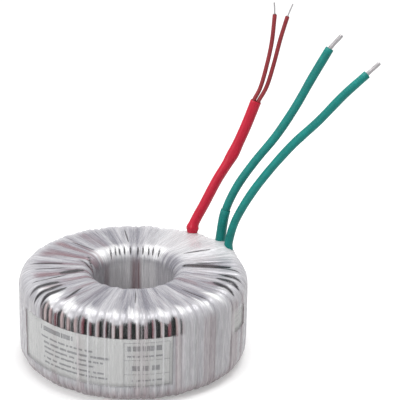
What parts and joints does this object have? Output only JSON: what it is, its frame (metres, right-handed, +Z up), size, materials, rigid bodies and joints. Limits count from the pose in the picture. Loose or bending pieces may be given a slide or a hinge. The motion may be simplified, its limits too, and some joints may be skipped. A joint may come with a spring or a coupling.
{
  "type": "toroidal transformer",
  "caption": "Ring-shaped mains power transformer under a clear film wrap, with a sleeved primary pair and two sleeved secondary leads standing up",
  "frame": {"origin": "centre of the ring at its base", "axes": "+Z up along the axis of the central hole, -Y towards the side with the rating label, leads leave the top edge at +X +Y"},
  "size_m": [0.1749, 0.1097, 0.1608],
  "materials": {
    "steel_strip": "wound strip, oiled",
    "pressboard": "matte",
    "insulation_tape": "satin film",
    "enamelled_copper": "glossy enamel on copper",
    "clear_film": "glossy clear film in many turns",
    "label_paper": "matte",
    "red_sleeve": "satin",
    "red_insulation": "satin",
    "green_sleeve": "satin",
    "tinned_copper": "tinned"
  },
  "bodies": {
    "root": {"core": "steel_strip", "core_ring_top": "pressboard", "core_ring_bottom": "pressboard", "core_tape": "insulation_tape", "primary_winding": "enamelled_copper", "winding_tape": "insulation_tape", "secondary_winding": "enamelled_copper", "film_wrap": "clear_film", "rating_label": "label_paper", "test_label": "label_paper", "primary_sleeve": "red_sleeve", "primary_lead_1": "red_insulation", "primary_lead_2": "red_insulation", "primary_wire_1": "tinned_copper", "primary_wire_2": "tinned_copper", "secondary_sleeve_1": "green_sleeve", "secondary_sleeve_2": "green_sleeve", "secondary_outer_sleeve": "green_sleeve", "secondary_wire_1": "tinned_copper", "secondary_wire_2": "tinned_copper"}
  },
  "joints": []
}
